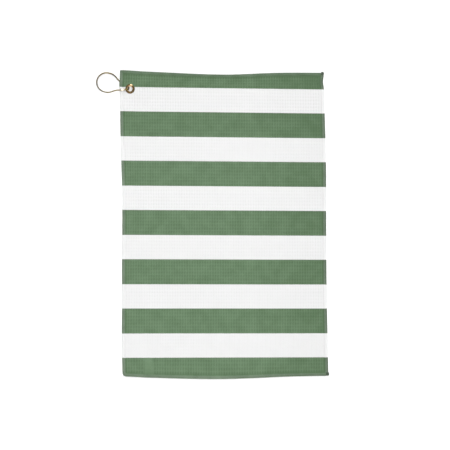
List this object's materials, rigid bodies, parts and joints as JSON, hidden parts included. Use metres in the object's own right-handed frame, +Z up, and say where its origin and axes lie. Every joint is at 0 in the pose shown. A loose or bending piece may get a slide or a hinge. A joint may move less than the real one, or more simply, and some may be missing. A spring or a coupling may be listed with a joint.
{
  "type": "golf towel",
  "caption": "Striped waffle-weave golf towel with overlocked edges, a corner grommet and a sprung brass wire clip, lying flat.",
  "frame": {"origin": "on the surface that the towel lies on, under the middle of the whole object's box", "axes": "+Z up off the surface, +Y along the towel towards the end with the grommet, +X across the towel away from the clip"},
  "size_m": [0.4643, 0.6101, 0.0097],
  "materials": {
    "striped_cloth": "matte waffle weave, printed in green and white stripes",
    "edge_thread": "matte overlock thread, printed with the cloth",
    "label_satin": "plain satin tape",
    "grommet_brass": "polished, slightly aged",
    "clip_brass": "polished wire"
  },
  "bodies": {
    "towel": {"towel_cloth": "striped_cloth", "overlock_top": "edge_thread", "overlock_right": "edge_thread", "overlock_bottom": "edge_thread", "overlock_left": "edge_thread", "thread_tail_top_right": "edge_thread", "thread_tail_bottom_right": "edge_thread", "care_label": "label_satin", "grommet_eyelet": "grommet_brass", "grommet_washer": "grommet_brass"},
    "clip": {"clip_wire": "clip_brass"},
    "catch_arm": {"clip_catch_arm": "clip_brass"}
  },
  "joints": [
    {"name": "clip_swing", "type": "hinge", "parent": "towel", "child": "clip", "pos_m": [-0.1647, 0.2669, 0.0045], "axis": [0, 0, 1], "range_deg": [-90, 20]},
    {"name": "clip_opening", "type": "hinge", "parent": "clip", "child": "catch_arm", "pos_m": [-0.23026, 0.28496, 0.0045], "axis": [0, 0, -1], "range_deg": [0, 18], "stiffness_Nm_per_rad": 0.2, "springref_deg": -5.73}
  ]
}
